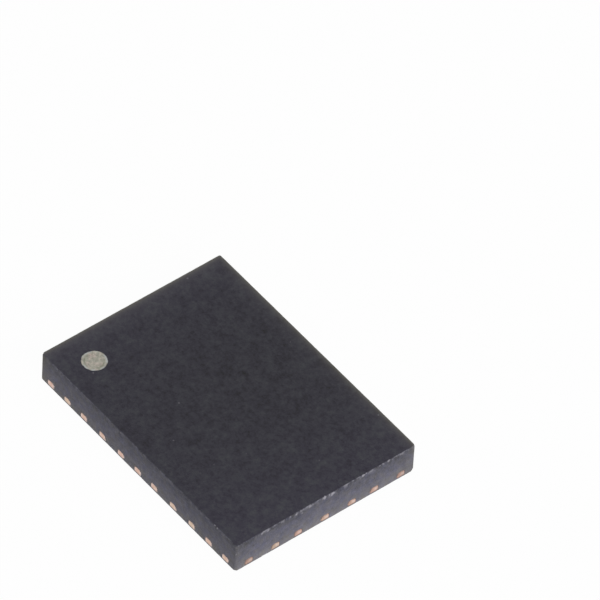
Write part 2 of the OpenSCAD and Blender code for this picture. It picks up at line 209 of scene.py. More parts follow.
class StageSettings(bpy.types.PropertyGroup):
    """Floor, light and camera"""

    world_level: FloatProperty(
        name="World", description="Strength of the even light from all round",
        default=0.35, min=0.0, max=2.0,
    )
    overhead_level: FloatProperty(
        name="Overhead",
        description="Brightness that the overhead lamp gives a white surface facing it",
        default=0.3, min=0.0, max=2.0,
    )
    key_level: FloatProperty(
        name="Key",
        description="Brightness that the key lamp gives a white surface facing it",
        default=0.62, min=0.0, max=2.0,
    )
    backdrop_share: FloatProperty(
        name="Backdrop", description="Share of pure white in what the camera sees of the floor",
        default=0.97, min=0.0, max=1.0, subtype="FACTOR",
    )
    lens: FloatProperty(
        name="Lens", description="Focal length of the camera in millimetres",
        default=624.11, min=50.0, max=2000.0, unit="CAMERA",
    )
    roll: FloatProperty(
        name="Roll", description="Turn of the camera about its own axis",
        default=math.radians(3.499), subtype="ANGLE",
    )
    place: FloatVectorProperty(
        name="Camera", description="Where the camera stands",
        default=(0.115896, -0.098128, 0.172387), subtype="TRANSLATION",
    )
    aim: FloatVectorProperty(
        name="Aim", description="Point of the floor at the middle of the view",
        default=(-0.00195, 0.003593, 0.0), subtype="TRANSLATION",
    )


# Surfaces as arrays


def lattice_noise(points, cell, seed):
    """Smooth noise from -1 to 1 at each point.

    Random heights stand on a lattice with the given cell, and a point takes the mean of its
    cell's eight corners, each weighted by the product of 3f^2 - 2f^3 along the three axes.
    """
    cells = 32
    heights = np.random.default_rng(seed).uniform(-1, 1, (cells, cells, cells))
    grid = points / np.asarray(cell)
    floor = np.floor(grid).astype(int)
    part = grid - floor
    weight = part * part * (3 - 2 * part)
    total = np.zeros(points.shape[:-1])
    for corner in np.ndindex(2, 2, 2):
        share = np.where(corner, weight, 1 - weight).prod(axis=-1)
        index = (floor + corner) % cells
        total += share * heights[index[..., 0], index[..., 1], index[..., 2]]
    return total


def stations(length, fine, coarse, ends, busy=()):
    """Fractions of a side at which its points stand.

    The step is fine within the given reach of both ends and of each busy place, and coarse
    elsewhere. Points are even in the integral of one over the step.
    """
    line = np.linspace(0, length, 8001)
    step = np.full_like(line, coarse)
    for place, reach in [(0, ends), (length, ends), *busy]:
        step[np.abs(line - place) <= reach] = fine
    count = np.concatenate([[0], np.cumsum(np.diff(line) / step[1:])])
    levels = np.linspace(0, count[-1], math.ceil(count[-1]) + 1)
    return np.interp(levels, count, line) / length


def rounded_outline(corners, radii, arc_points=17):
    """Points and outward normals of a convex polygon with rounded corners, anticlockwise.

    At each corner the arc's centre lies inward by the radius times (n1 + n2) / (1 + n1 . n2),
    where n1 and n2 are the normals of the sides before and after it, and a point of the arc is
    the centre plus the radius times a normal that turns evenly from n1 to n2.
    """
    corners = np.asarray(corners, float)
    radii = np.asarray(radii, float)[:, None]
    along = np.roll(corners, -1, axis=0) - corners
    along /= np.linalg.norm(along, axis=1, keepdims=True)
    after = np.stack([along[:, 1], -along[:, 0]], axis=1)
    before = np.roll(after, 1, axis=0)
    dot = (before * after).sum(axis=1, keepdims=True)
    centre = corners - radii * (before + after) / (1 + dot)
    start = np.arctan2(before[:, 1], before[:, 0])[:, None]
    turn = np.arccos(np.clip(dot, -1, 1))
    angle = start + turn * np.linspace(0, 1, arc_points)
    facing = np.stack([np.cos(angle), np.sin(angle)], axis=-1)
    points = centre[:, None] + radii[:, None] * facing
    return points.reshape(-1, 2), facing.reshape(-1, 2)


def four_sides(points, facing, along, across):
    """The outline as one loop of four sides, each cut at the corner furthest out diagonally.

    Each side's points stand at the given fractions of its length, and a side's last point is
    the next one's first.
    """
    reach = points @ DIAGONALS.T
    cuts = [round(np.flatnonzero(r > r.max() - 1e-6).mean()) for r in reach.T]
    cuts.append(cuts[0] + len(points))
    both = np.tile(np.hstack([points, facing]), (2, 1))
    sides = []
    for start, end, fractions in zip(cuts, cuts[1:], [along, across, along, across]):
        part = both[start:end + 1]
        steps = np.linalg.norm(np.diff(part[:, :2], axis=0), axis=1)
        run = np.concatenate([[0], np.cumsum(steps)])
        # The second pair of sides runs back, so its fractions are counted from the other end
        places = fractions if len(sides) < 2 else 1 - fractions[::-1]
        found = [np.interp(places[:-1] * run[-1], run, column) for column in part.T]
        sides.append(np.stack(found, axis=1))
    loop = np.vstack(sides)
    facing = loop[:, 2:] / np.linalg.norm(loop[:, 2:], axis=1, keepdims=True)
    return loop[:, :2], facing


def loop_grid(loop, nu, nv):
    """The loop's four sides as the rim of a grid of nu + 1 by nv + 1, with zeros inside."""
    grid = np.zeros((nu + 1, nv + 1, *loop.shape[1:]), loop.dtype)
    closed = np.concatenate([loop, loop[:1]])
    grid[:, 0] = closed[:nu + 1]
    grid[nu, :] = closed[nu:nu + nv + 1]
    grid[:, nv] = closed[nu + nv:2 * nu + nv + 1][::-1]
    grid[0, :] = closed[2 * nu + nv:][::-1]
    return grid


def blended_patch(loop, along, across):
    """A patch over the loop.

    A point is the blend of the two sides across plus the blend of the two sides along, less
    the blend of the four corners, each by its fractions u and v.
    """
    nu, nv = len(along) - 1, len(across) - 1
    rim = loop_grid(loop, nu, nv)
    u = along[:, None, None]
    v = across[None, :, None]
    over = (1 - v) * rim[:, :1] + v * rim[:, -1:]
    through = (1 - u) * rim[:1] + u * rim[-1:]
    low = (1 - u) * rim[0, 0] + u * rim[-1, 0]
    high = (1 - u) * rim[0, -1] + u * rim[-1, -1]
    return over + through - (1 - v) * low - v * high


def quads(grid):
    """Four-sided faces between neighbours of a grid of point numbers."""
    return np.stack(
        [grid[:-1, :-1], grid[1:, :-1], grid[1:, 1:], grid[:-1, 1:]], axis=-1,
    ).reshape(-1, 4)


def edge_profile(bottom, top, bottom_radius, top_radius, step, arc_steps=5):
    """Inset, height and tilt of the rows up a slab's side.

    A quarter circle leads from the underside into the upright side and another from there
    into the top. Tilt is the angle of the outward normal over the level.
    """
    arc = np.linspace(0, math.pi / 2, arc_steps + 1)
    low = bottom_radius * np.stack([1 - np.sin(arc), 1 - np.cos(arc)])
    high = top_radius * np.stack([1 - np.cos(arc), 1 - np.sin(arc)])
    upright = np.linspace(
        bottom + bottom_radius, top - top_radius,
        max(2, math.ceil((top - bottom - bottom_radius - top_radius) / step) + 1),
    )[1:-1]
    inset = np.concatenate([low[0], np.zeros_like(upright), high[0]])
    height = np.concatenate([bottom + low[1], upright, top - high[1]])
    tilt = np.concatenate([arc - math.pi / 2, np.zeros_like(upright), arc])
    return inset, height, tilt


def slab(outline, profile, along, across):
    """Points, outward normals and faces of a closed slab.

    A side point is the outline's point, less the row's inset along its normal, at the row's
    height; its normal is cos(tilt) of the outline's normal and sin(tilt) upwards. A blended
    patch closes the first row below and the last row above.
    """
    inset, height, tilt = profile
    loop, facing = four_sides(*outline, along, across)
    rows, around = len(height), len(loop)
    nu, nv = len(along) - 1, len(across) - 1
    side = np.empty((rows, around, 3))
    side[..., :2] = loop - inset[:, None, None] * facing
    side[..., 2] = height[:, None]
    normal = np.empty_like(side)
    normal[..., :2] = np.cos(tilt)[:, None, None] * facing
    normal[..., 2] = np.sin(tilt)[:, None]
    numbers = np.arange(rows * around).reshape(rows, around)
    wrapped = np.concatenate([numbers, numbers[:, :1]], axis=1)
    faces = [quads(wrapped.T)]
    points, normals = [side.reshape(-1, 3)], [normal.reshape(-1, 3)]
    count = rows * around
    for row, up in ((0, -1), (rows - 1, 1)):
        patch = blended_patch(side[row], along, across)[1:-1, 1:-1]
        grid = loop_grid(numbers[row], nu, nv)
        grid[1:-1, 1:-1] = count + np.arange(patch[..., 0].size).reshape(patch.shape[:2])
        count += patch[..., 0].size
        points.append(patch.reshape(-1, 3))
        normals.append(np.tile([0.0, 0.0, up], (patch[..., 0].size, 1)))
        faces.append(quads(grid)[:, ::up])
    return np.vstack(points), np.vstack(normals), np.vstack(faces)


def rectangle(length, width):
    """Corners of a rectangle about the origin, anticlockwise from the lowest x and y."""
    return DIAGONALS * np.array([length, width]) / 2


def chip_depth(points):
    """How deep the chips cut at each point, and how pale the break is there from 0 to 1.

    Within a chip's radius the depth is half the radius times 1 - (d / radius)^2, where the
    distance d is stretched by noise so that no two chips are alike.
    """
    ragged = 1 + 0.35 * lattice_noise(points, 0.03, 11)
    depth, broken = np.zeros(len(points)), np.zeros(len(points))
    for *middle, radius, fresh in EDGE_CHIPS:
        far = np.linalg.norm(points - middle, axis=1) * ragged / radius
        share = np.clip(1 - far * far, 0, None)
        depth = np.maximum(depth, 0.5 * radius * share)
        broken = np.maximum(broken, fresh * np.clip(2 * share, 0, 1))
    return depth, broken


# Shaders as expressions


class Signal:
    """A node's output that takes part in expressions, each of which adds its Math node."""

    def __init__(self, finish, socket):
        self.finish = finish
        self.socket = socket

    def _math(self, operation, first, second):
        return self.finish.add("ShaderNodeMath", {"operation": operation}, {0: first, 1: second})

    def __add__(self, other):
        return self._math("ADD", self, other)

    def __sub__(self, other):
        return self._math("SUBTRACT", self, other)

    def __rsub__(self, other):
        return self._math("SUBTRACT", other, self)

    def __mul__(self, other):
        return self._math("MULTIPLY", self, other)

    def __gt__(self, other):
        return self._math("GREATER_THAN", self, other)

    __radd__ = __add__
    __rmul__ = __mul__

    def clamped(self):
        """The same value kept between 0 and 1."""
        settings = {"operation": "ADD", "use_clamp": True}
        return self.finish.add("ShaderNodeMath", settings, {0: self, 1: 0.0})


class Finish:
    """A node tree that is being built."""

    def __init__(self, tree):
        self.tree = tree
        tree.nodes.clear()

    def add(self, kind, settings=None, sockets=None, output=0):
        """Adds a node: its settings first, then the values or links of its sockets."""
        node = self.tree.nodes.new(kind)
        for key, value in (settings or {}).items():
            setattr(node, key, value)
        for key, value in (sockets or {}).items():
            socket = node.inputs[key] if isinstance(key, int) else self._socket(node, key)
            if isinstance(value, Signal):
                self.tree.links.new(value.socket, socket)
            elif socket.type == "RGBA":
                socket.default_value = (*value, 1.0)
            else:
                socket.default_value = value
        return Signal(self, node.outputs[output]) if node.outputs else None

    @staticmethod
    def _socket(node, key):
        return next(s for s in node.inputs if key in (s.identifier, s.name))

    def coordinates(self, stretch=(1, 1, 1)):
        """Object coordinates in millimetres, stretched along the axes."""
        place = self.add("ShaderNodeTexCoord", output="Object")
        scale = tuple(s / MM for s in stretch)
        return self.add("ShaderNodeMapping", {}, {"Vector": place, "Scale": scale})

    def along(self, axis):
        """The place along one axis in millimetres."""
        return self.add("ShaderNodeSeparateXYZ", {}, {0: self.coordinates()}, output=axis)

    def attribute(self, name):
        """A value that the shape's function gave to each point."""
        return self.add("ShaderNodeAttribute", {"attribute_name": name}, output="Fac")

    def noise(self, scale, detail=2.0, stretch=(1, 1, 1), roughness=0.5):
        """Noise from 0 to 1 with so many waves to a millimetre."""
        sockets = {"Vector": self.coordinates(stretch), "Scale": scale, "Detail": detail}
        return self.add("ShaderNodeTexNoise", {}, {**sockets, "Roughness": roughness})

    def swing(self, reach, scale, detail=2.0, **shape):
        """Noise about 0: the reach times the noise less a half."""
        return reach * (self.noise(scale, detail, **shape) - 0.5)

    def patches(self, scale, detail, gain, less):
        """Patches from 0 to 1: the gain times noise, less a value, clamped."""
        return (gain * self.noise(scale, detail) - less).clamped()

    def grains(self, scale):
        """Distance to the nearest of many scattered points, in cells."""
        sockets = {"Vector": self.coordinates(), "Scale": scale}
        return self.add("ShaderNodeTexVoronoi", {}, sockets)

    def mix(self, first, second, factor):
        """Colour between first and second."""
        settings = {"data_type": "RGBA"}
        sockets = {"Factor_Float": factor, "A_Color": first, "B_Color": second}
        return self.add("ShaderNodeMix", settings, sockets, output=2)

    def shade(self, colour, level):
        """Colour times a value."""
        settings = {"operation": "SCALE"}
        return self.add("ShaderNodeVectorMath", settings, {0: colour, "Scale": level})

    def tinted(self, colour, tint):
        """Colour times another, channel by channel."""
        return self.add("ShaderNodeVectorMath", {"operation": "MULTIPLY"}, {0: colour, 1: tint})

    def bump(self, height, distance):
        """Normal of a relief of the given depth in millimetres."""
        return self.add("ShaderNodeBump", {}, {"Height": height, "Distance": distance * MM})


def principled(name, **sockets):
    """A material of one Principled shader.

    Each keyword names a socket, and its value is a constant or a function that is given the
    Finish and returns what feeds the socket.
    """
    material = bpy.data.materials.new(name)
    material.use_nodes = True
    finish = Finish(material.node_tree)
    values = {key.replace("_", " "): value for key, value in sockets.items()}
    values = {key: v(finish) if callable(v) else v for key, v in values.items()}
    shader = finish.add("ShaderNodeBsdfPrincipled", {}, values)
    finish.add("ShaderNodeOutputMaterial", {}, {"Surface": shader})
    return material


def moulding_finish(settings):
    """Filled epoxy: dark and fine-grained where moulded, paler and streaked where sawn."""

    def colour(f):
        sawn, height = f.attribute("sawn"), f.along("Z")
        speckle = f.swing(1.4, 24.0, 3.0, roughness=0.7)
        mottle, cloud = f.swing(1.6, 9.0, 3.0), f.swing(0.9, 2.4)

        # Moulded faces: clouds of two tones, a little paler towards the sides, with a haze of
        # painted glare at two of them and a few pale specks
        clouded = speckle + 1.1 * mottle + 1.3 * cloud
        tone = (0.5 + 1.2 * clouded).clamped()
        tone = f.mix(settings.top_colour, settings.cloud_colour, tone)
        x, y = f.along("X"), f.along("Y")
        bloom = 0.015 * x + 0.029 * (x * x) - 0.03 * y + 0.012 * (y * y)
        moulded = f.shade(tone, 0.7 + bloom + clouded)
        # Painted glare: haze over the top near its far edges
        moulded = f.mix(moulded, settings.sawn_colour, f.attribute("haze"))
        specks = (30.0 * (0.06 - f.grains(2.0))).clamped() * (0.7 * f.noise(1.7) - 0.22)
        moulded = f.mix(moulded, settings.chip_colour, specks.clamped())

        # Sawn sides: painted light makes them paler downwards and most of all beside the copper,
        # streaked along the saw's path, cooler in patches, with cut grains of filler and a warmer
        # foot
        # Painted light: the sides grow paler towards their foot, as light from the floor would
        # make them
        painted_floor_light = 1.44 - height + 1.2 * (0.22 - height).clamped()
        streaks = f.swing(0.3, 1.0, 3.0, stretch=(0.5, 0.5, 34))
        cool = f.patches(6.0, 3.0, gain=3.0, less=1.0)
        cut = f.mix(settings.sawn_colour, settings.sawn_cloud_colour, cool)
        cut = f.shade(cut, painted_floor_light + streaks + 0.5 * (1.5 * speckle + mottle + cloud))
        low = (1.2 - 2.8 * height).clamped()
        cut = f.mix(cut, f.tinted(cut, settings.low_tint), low)
        filler = (0.16 - f.grains(30.0)).clamped() * 3.0
        cut = f.mix(cut, settings.chip_colour, (filler * sawn).clamped())

        # Wear and painted light: bands of painted glare, patchy arcs that are rubbed and carry a
        # painted highlight, and fresh breaks
        whole = f.mix(moulded, cut, sawn)
        # Painted glare on the far upper edges and the outer upright edges
        whole = f.mix(whole, settings.glare_colour, f.attribute("band"))
        # Patchy pale arcs on the rounded upper edges: rubbing, and a painted highlight strongest
        # towards +X
        pale = f.patches(9.0, 3.0, gain=7.0, less=3.4) * f.attribute("arc")
        whole = f.mix(whole, settings.chip_colour, pale)
        return f.mix(whole, settings.chip_colour, f.attribute("broken"))

    def relief(f):
        grain = f.noise(40.0, 4.0)
        saw = f.noise(1.0, 3.0, (0.6, 0.6, 60))
        return f.bump(grain + 0.6 * saw * f.attribute("sawn"), 0.0035)

    return principled(
        "sawn moulding",
        Base_Color=colour,
        Roughness=lambda f: 0.58 + 0.14 * f.attribute("sawn") + f.swing(0.1, 6.0),
        Normal=relief,
        Specular_IOR_Level=0.28,
    )


def mark_finish(settings):
    """A pale printed spot: mottled, with dark pits, a broken dark ring of painted shadow and a
    paler rim of painted highlight.
    """

    def colour(f):
        warm = f.patches(7.0, 3.0, gain=4.0, less=1.8)
        tone = f.mix(settings.print_colour, settings.warm_colour, warm)
        tone = f.shade(tone, 1 + f.swing(1.1, 14.0, 3.0) + f.swing(0.5, 34.0))
        pits = f.patches(18.0, 2.0, gain=6.0, less=3.7)
        # Painted shadow: a broken dark ring just inside the rim
        ring = f.patches(4.0, 2.0, gain=7.0, less=3.3) * f.attribute("ring")
        tone = f.mix(tone, settings.pit_and_shadow_colour, (0.6 * pits + 0.9 * ring).clamped())
        # Painted highlight on the rim
        rim = f.patches(6.5, 2.0, gain=7.0, less=3.0) * f.attribute("rim")
        whole = f.mix(tone, settings.rim_highlight_colour, rim)
        return f.mix(whole, settings.edge_colour, f.attribute("fade"))

    return principled(
        "printed mark",
        Base_Color=colour,
        Roughness=lambda f: 0.7 + 0.15 * f.noise(20.0),
        Normal=lambda f: f.bump(f.noise(30.0, 3.0), 0.003),
        Specular_IOR_Level=0.3,
    )


def tin_finish(settings):
    """Matt plated tin: fine grains and soft clouds of grey."""

    def colour(f):
        return f.shade(settings.tin_colour, 1 + f.swing(0.1, 2.2) + f.swing(0.16, 28.0, 3.0))

    return principled(
        "matt tin",
        Base_Color=colour,
        Metallic=1.0,
        Roughness=lambda f: 0.42 + f.swing(0.16, 20.0, 3.0),
        Normal=lambda f: f.bump(f.noise(36.0, 4.0), 0.003),
    )


def sawn_copper_finish(settings):
    """Cut copper: a painted highlight in part, and brown where it is dragged out thin at the rim.
    """

    def colour(f):
        tan = f.patches(1.1, 2.0, gain=4.0, less=1.6)
        bright = f.mix(settings.copper_colour, settings.tan_colour, tan)
        # Painted highlight: pale patches where the copper would catch the light
        painted_highlight = (f.attribute("painted_highlight") + f.swing(0.8, 12.0)).clamped()
        bright = f.mix(bright, settings.painted_highlight_colour, painted_highlight)
        # Painted shade on the copper of the short sides
        bright = f.shade(bright, 1 + f.swing(0.5, 22.0, 3.0) - 0.5 * f.attribute("painted_shade"))
        thin = (f.attribute("thin") + f.swing(0.5, 14.0)).clamped()
        return f.mix(bright, settings.smear_colour, thin)

    return principled(
        "sawn copper",
        Base_Color=colour,
        Metallic=1.0,
        Roughness=lambda f: 0.4 + f.swing(0.3, 18.0),
        Normal=lambda f: f.bump(f.noise(1.0, 3.0, (8, 8, 90)), 0.002),
    )


def etched_copper_finish(settings):
    """Etched copper: fine satin grain and faint tarnish, and brown in the block's sawn planes."""
    low, high = box_mm("mould_body")
    tolerance = 0.001
    sawn_x, sawn_y = ((high - low)[:2] / 2 - tolerance) ** 2

    def colour(f):
        bright = f.shade(settings.copper_colour, 0.9 + 0.2 * f.noise(26.0, 3.0))
        tarnish = 0.25 * f.patches(3.0, 3.0, gain=1.5, less=0.6)
        x, y = f.along("X"), f.along("Y")
        sawn = (x * x > sawn_x) + (y * y > sawn_y)
        return f.mix(bright, settings.smear_colour, (tarnish + sawn).clamped())

    return principled(
        "etched copper",
        Base_Color=colour,
        Metallic=1.0,
        Roughness=lambda f: 0.36 + f.swing(0.2, 24.0),
        Normal=lambda f: f.bump(f.noise(30.0, 4.0), 0.002),
    )


def plain_finish(name, display, roughness, metallic=0.0, grain=20.0, **sockets):
    """A finish of one colour with grain in its shade, its roughness and its relief."""
    return principled(
        name,
        Base_Color=lambda f: f.shade(linear(*display), 0.92 + 0.16 * f.noise(grain, 3.0)),
        Metallic=metallic,
        Roughness=lambda f: roughness + f.swing(0.1, 0.7 * grain),
        Normal=lambda f: f.bump(f.noise(1.5 * grain, 3.0), 0.001),
        **sockets,
    )


# Pieces


def box_mm(node):
    """Lowest and highest corner of a CAD node in millimetres."""
    return np.array(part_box(node)) / MM


def add_piece(name, skin, material, replaces=(), layers=None):
    """Makes the object of a skin, its points in millimetres and its faces.

    Each layer is an attribute: a value for each point.
    """
    points, faces = skin
    mesh = bpy.data.meshes.new(name)
    mesh.from_pydata(points * MM, [], faces)
    mesh.polygons.foreach_set("use_smooth", np.ones(len(faces), bool))
    for key, values in (layers or {}).items():
        mesh.attributes.new(key, "FLOAT", "POINT").data.foreach_set("value", values)
    mesh.materials.append(material)
    mesh.update()
    if mesh.validate():
        raise RuntimeError(f"{name} has faces that Blender mends")
    piece = bpy.data.objects.new(name, mesh)
    bpy.context.scene.collection.objects.link(piece)
    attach(piece, BODY)
    if replaces:
        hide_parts(*replaces)


def join_skins(skins):
    """One skin of several, with the face numbers of each moved past those before it."""
    starts = np.cumsum([0] + [len(points) for points, _ in skins[:-1]])
    points = np.vstack([points for points, _ in skins])
    return points, np.vstack([faces + start for (_, faces), start in zip(skins, starts)])


def dress(nodes, material):
    """Gives CAD nodes a material."""
    for node in nodes:
        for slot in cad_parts[node].material_slots:
            slot.material = material


def rubbing_and_glare(points, normals, low, high):
    """How pale the upper edges' arcs, the bands beside them and the haze over the top are: the
    arcs show rubbing and a painted highlight, and the bands and the haze are painted glare.

    Here d is the distance in from a side's plane, c the depth below the top, e the distance
    to an upright edge and n the rise of the normal. Each edge's term is times its strength,
    and the strongest one counts. An arc is exp(-(d / reach in)^2) times the larger of
    0.7 (1 - |2n - 1|), on the upper half, and 0.5 (1 - 3n) exp(-(c / reach down)^2). A band
    is exp(-d / reach in) on the top and exp(-e / reach round) on the sides, and the haze is
    exp(-d / its reach) on the top.
    """
    rise = normals[:, 2]
    upper = points[:, 2] > (low[2] + high[2]) / 2
    inward = np.concatenate([points[:, :2] - low[:2], high[:2] - points[:, :2]], axis=1)
    turned = 0.7 * np.clip(1 - np.abs(2 * rise - 1), 0, 1) * upper
    down = 0.5 * np.exp(-((high[2] - points[:, 2]) / REACH_DOWN) ** 2)
    near = (np.exp(-(inward / REACH_IN) ** 2) * RUBBED_AND_LIT_ARC).max(axis=1)
    arc = np.maximum(turned, down * np.clip(1 - 3 * rise, 0, 1)) * near
    flat = np.clip(2 * rise - 1, 0, 1)
    band = flat * (np.exp(-np.abs(inward) / REACH_IN) * GLARE_BAND).max(axis=1)
    haze = flat * (np.exp(-np.abs(inward) / REACH_HAZE) * HAZE).max(axis=1)
    edges = np.where(DIAGONALS > 0, high[:2], low[:2])
    apart = np.linalg.norm(points[:, None, :2] - edges, axis=2)
    upright = (np.exp(-apart / REACH_ROUND) * UPRIGHT_GLARE).max(axis=1)
    upright *= np.clip(1 - 2 * np.abs(rise), 0, 1)
    return {"arc": arc, "band": np.maximum(band, upright), "haze": haze}


def moulding_skin(settings):
    """The moulded block with its relief, and how sawn, broken and rubbed each point is, and
    where painted glare and a painted highlight lie on it.

    A slab's points move along their normals by noise: grain all over and streaks along the
    sawn sides, less nibbles where the normal turns from level to upright, less the chips. A
    point is sawn by 1.5 times the level share of its normal, up to 1. The steps are fine at
    the corners and wherever a chip lies beside the side.
    """
    low, high = box_mm("mould_body")
    sink, edge = settings.sink / MM, settings.edge / MM
    length, width = (high - low)[:2] - 2 * sink
    steps = {"fine": 0.014, "coarse": 0.05, "ends": 0.1}
    reach, beside = 0.04, 0.1
    along = stations(length, **steps, busy=[
        (x + length / 2, reach) for x, y, *_ in EDGE_CHIPS if abs(y) > width / 2 - beside
    ])
    across = stations(width, **steps, busy=[
        (y + width / 2, reach) for x, y, *_ in EDGE_CHIPS if abs(x) > length / 2 - beside
    ])
    outline = rounded_outline(rectangle(length, width), [settings.corner / MM] * 4)
    profile = edge_profile(low[2], high[2] - sink, edge, edge, step=0.028)
    points, normals, faces = slab(outline, profile, along, across)
    sawn = np.clip(1.5 * np.hypot(normals[:, 0], normals[:, 1]), 0, 1)
    turning = 1 - np.abs(2 * np.abs(normals[:, 2]) - 1)
    depth, broken = chip_depth(points)
    grain = 0.0007 * lattice_noise(points, 0.11, 1) + 0.0006 * lattice_noise(points, 0.4, 2)
    streaks = 0.0006 * lattice_noise(points, (2.5, 2.5, 0.07), 3)
    nibbles = 0.004 * turning * np.clip(lattice_noise(points, 0.09, 4), 0, 1)
    relief = grain + sawn * streaks - nibbles - depth
    layers = {"sawn": sawn, "broken": broken, **rubbing_and_glare(points, normals, low, high)}
    return (points + normals * relief[:, None], faces), layers


def mark_skin(box, sink):
    """The printed spot, a disc with an uneven edge, and its rim of painted highlight, its ring of
    painted shadow and its fading edge.

    The spot is a slab on a circle. Its points move outwards from the middle by their distance
    times a noise of their direction, less bites where another noise is high. Rim, ring and
    fade are linear ramps of the distance over the radius.
    """
    low, high = box
    radius = (high[0] - low[0]) / 2
    places = stations(2 * radius, fine=0.02, coarse=0.02, ends=0)
    outline = rounded_outline(rectangle(2 * radius, 2 * radius), [radius] * 4)
    profile = edge_profile(
        high[2] - 4 * sink, high[2], bottom_radius=0.002, top_radius=0.0015, step=0.01,
        arc_steps=3,
    )
    points, normals, faces = slab(outline, profile, places, places)
    far = np.linalg.norm(points[:, :2], axis=1) / radius
    ray = np.zeros_like(points)
    ray[:, :2] = points[:, :2] / np.maximum(far, 1e-9)[:, None] / radius
    wander = 0.02 * lattice_noise(ray, 0.15, 21) + 0.015 * lattice_noise(ray, 0.5, 22)
    bites = 0.06 * np.clip(lattice_noise(ray, 0.25, 24) - 0.35, 0, 1)
    points[:, :2] *= (1.0 + (wander - bites) * far)[:, None]
    points[:, 2] += 0.0004 * normals[:, 2] * lattice_noise(points, 0.05, 23)
    points[:, :2] += (low[:2] + high[:2]) / 2
    layers = {
        "rim": np.clip((far - 0.82) / 0.1, 0, 1),
        "ring": np.clip(1 - np.abs(far - 0.74) / 0.1, 0, 1),
        "fade": np.clip((far - 0.95) / 0.05, 0, 1),
    }
    return (points, faces), layers


def land_skin(box, chamfer=0.0, radius=LAND_RADIUS):
    """One tinned land: a thin slab with soft edges, its inner corner cut by the chamfer if any.

    The slab stands a little way into the copper over it, and its face below is raised by more
    than its grain, so that it keeps over the seating plane.
    """
    low, high = box
    length, width = (high - low)[:2]
    corners = rectangle(length, width)
    radii = [radius] * 4
    if chamfer:
        inner = corners[2]
        cut = [inner - [0, chamfer], inner - [chamfer, 0]]
        corners = np.vstack([corners[:2], cut, corners[3:]])
        radii = [radius, radius, CHAMFER_RADIUS, CHAMFER_RADIUS, radius]
    along, across = (
        stations(side, fine=0.015, coarse=0.06, ends=0.2) for side in (length, width)
    )
    into_copper, raised = 0.002, 0.0008
    profile = edge_profile(
        low[2], high[2] + into_copper, bottom_radius=0.005, top_radius=0.001, step=0.004,
        arc_steps=4,
    )
    points, normals, faces = slab(rounded_outline(corners, radii), profile, along, across)
    points[:, :2] += (low[:2] + high[:2]) / 2
    grain = 0.0004 * lattice_noise(points, 0.06, 31) + 0.0004 * lattice_noise(points, 0.3, 32)
    points[:, 2] += np.where(normals[:, 2] < 0, raised + grain, 0) * -normals[:, 2]
    return points, faces


def node_triangles(node):
    """Corners of a CAD node's triangles in millimetres."""
    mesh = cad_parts[node].data
    mesh.calc_loop_triangles()
    points = np.empty(3 * len(mesh.vertices))
    mesh.vertices.foreach_get("co", points)
    corners = np.empty(3 * len(mesh.loop_triangles), np.int32)
    mesh.loop_triangles.foreach_get("vertices", corners)
    return points.reshape(-1, 3)[corners].reshape(-1, 3, 3) / MM


def islands(triangles):
    """Lowest and highest corner of each group of triangles that touch.

    Corners are numbered by place, and each number falls to the lowest one in its triangles
    until nothing changes.
    """
    places, number = np.unique(triangles.reshape(-1, 3).round(5), axis=0, return_inverse=True)
    number = number.reshape(-1, 3)
    label, before = np.arange(len(places)), None
    while before is None or (label != before).any():
        before = label.copy()
        lowest = label[number].min(axis=1, keepdims=True)
        np.minimum.at(label, number, np.broadcast_to(lowest, number.shape))
    groups = [places[label == value] for value in np.unique(label)]
    return [np.array([group.min(axis=0), group.max(axis=0)]) for group in groups]


def sawn_ends(nodes):
    """Middle, direction along the side, facing and half sizes of each sawn copper end.

    The ends are the islands of the copper nodes' triangles in the block's upright planes.
    """
    triangles = np.vstack([node_triangles(node) for node in nodes])
    tolerance = 1e-4
    ends = []
    for corner in box_mm("mould_body"):
        for axis in (0, 1):
            facing = np.zeros(3)
            facing[axis] = np.sign(corner[axis])
            along = np.cross([0, 0, 1], facing)
            in_plane = (np.abs(triangles[..., axis] - corner[axis]) < tolerance).all(axis=1)
            for low, high in islands(triangles[in_plane]):
                half = (high - low) / 2
                ends.append((low + half, along, facing, half[1 - axis], half[2]))
    return ends


